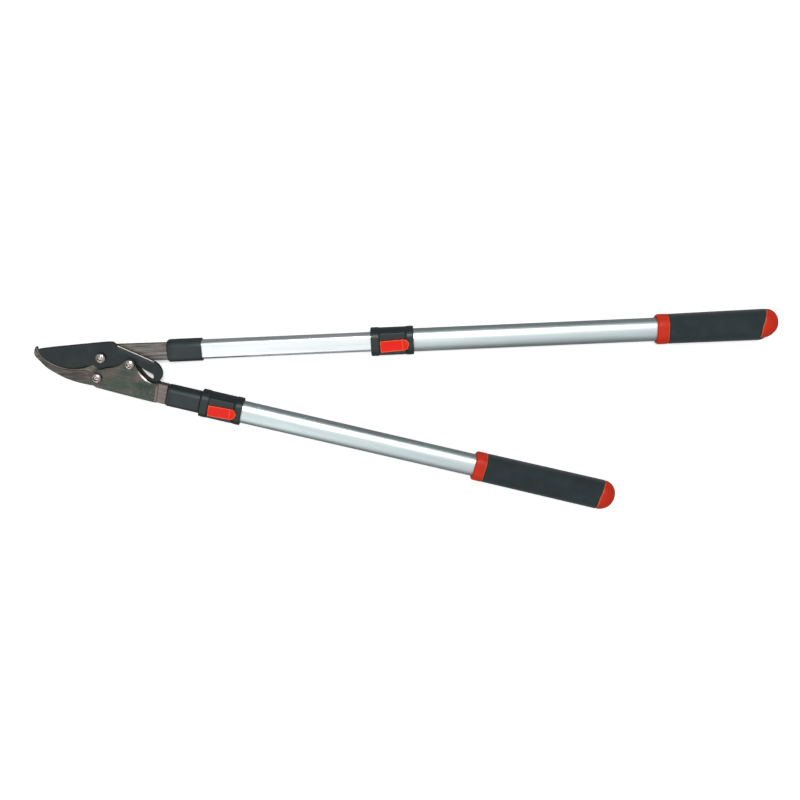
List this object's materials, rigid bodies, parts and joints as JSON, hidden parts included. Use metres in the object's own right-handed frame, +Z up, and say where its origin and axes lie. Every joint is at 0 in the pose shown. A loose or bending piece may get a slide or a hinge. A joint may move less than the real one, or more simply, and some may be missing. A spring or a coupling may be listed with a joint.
{
  "type": "bypass loppers",
  "caption": "Telescopic bypass loppers: hooked counter blade, slotted compound cutting blade, sliding flat-oval tube handles with lock levers, ringed grips and end caps.",
  "frame": {"origin": "centre of the base of the bounding box, on the surface that the tool lies on", "axes": "+X along the upper (fixed) handle from the jaws to its grip, +Y across in the plane of the handles towards the upper handle's side, +Z up, out of the faces that carry the bolt heads"},
  "size_m": [0.839, 0.2348, 0.0284],
  "materials": {
    "head_steel": "ground, lightly oiled",
    "bolt_steel": "bright zinc",
    "blade_coating": "low-friction coating, satin",
    "tube_aluminium": "satin anodised",
    "dark_plastic": "moulded, fine texture",
    "orange_trim": "moulded, satin",
    "orange_lever": "moulded, semi-gloss",
    "grip_rubber": "fine-grained foam rubber",
    "shoe_rubber": "plain"
  },
  "bodies": {
    "hook_frame": {"hook_blade": "head_steel", "blade_pivot_bolt": "bolt_steel", "blade_pivot_nut": "bolt_steel", "blade_pivot_washer": "bolt_steel", "upper_ferrule": "dark_plastic", "upper_tang_rivets": "bolt_steel", "upper_inner_tube": "tube_aluminium", "upper_guide_bush": "dark_plastic"},
    "blade": {"cutting_blade": "blade_coating"},
    "lower_lever": {"lever_plate_front": "head_steel", "lever_plate_back": "head_steel", "lower_tang": "head_steel", "plate_rivets": "head_steel", "lever_pivot_bolt": "bolt_steel", "lever_pivot_nut": "bolt_steel", "lever_pivot_spacer": "bolt_steel", "drive_pin": "bolt_steel", "drive_pin_nut": "bolt_steel", "lower_ferrule": "dark_plastic", "lower_tang_rivets": "bolt_steel", "lower_inner_tube": "tube_aluminium", "lower_guide_bush": "dark_plastic"},
    "upper_outer": {"upper_collar": "dark_plastic", "upper_collar_screw": "bolt_steel", "upper_lock_pivot_pin": "bolt_steel", "upper_lock_spring": "bolt_steel", "upper_outer_tube": "tube_aluminium", "upper_grip_ring": "orange_trim", "upper_grip": "grip_rubber", "upper_end_cap": "orange_trim"},
    "upper_lock": {"upper_lock_lever": "orange_lever", "upper_brake_shoe": "shoe_rubber"},
    "lower_outer": {"lower_collar": "dark_plastic", "lower_collar_screw": "bolt_steel", "lower_lock_pivot_pin": "bolt_steel", "lower_lock_spring": "bolt_steel", "lower_outer_tube": "tube_aluminium", "lower_grip_ring": "orange_trim", "lower_grip": "grip_rubber", "lower_end_cap": "orange_trim"},
    "lower_lock": {"lower_lock_lever": "orange_lever", "lower_brake_shoe": "shoe_rubber"}
  },
  "joints": [
    {"name": "lower_handle_pivot", "type": "hinge", "parent": "hook_frame", "child": "lower_lever", "pos_m": [-0.35005, 0.07329, 0.0135], "axis": [0, 0, -1], "range_deg": [0, 72]},
    {"name": "blade_pivot", "type": "hinge", "parent": "hook_frame", "child": "blade", "pos_m": [-0.34305, 0.09579, 0.0135], "axis": [0, 0, -1], "range_deg": [0, 46.8]},
    {"name": "upper_handle_slide", "type": "slide", "parent": "hook_frame", "child": "upper_outer", "axis": [1, 0, 0], "range_m": [-0.19, 0]},
    {"name": "lower_handle_slide", "type": "slide", "parent": "lower_lever", "child": "lower_outer", "axis": [0.9591, -0.2832, 0], "range_m": [0, 0.19]},
    {"name": "upper_lock_rocker", "type": "hinge", "parent": "upper_outer", "child": "upper_lock", "pos_m": [-0.01555, 0.09729, 0.0252], "axis": [0, 1, 0], "range_deg": [0, 5], "stiffness_Nm_per_rad": 0.35, "springref_deg": -8.59},
    {"name": "lower_lock_rocker", "type": "hinge", "parent": "lower_outer", "child": "lower_lock", "pos_m": [-0.21614, 0.02838, 0.0252], "axis": [0.2832, 0.9591, 0], "range_deg": [0, 5], "stiffness_Nm_per_rad": 0.35, "springref_deg": -8.59}
  ],
  "couplings": [
    {"joint": "blade_pivot", "follows": "lower_handle_pivot", "ratio": 0.65}
  ]
}
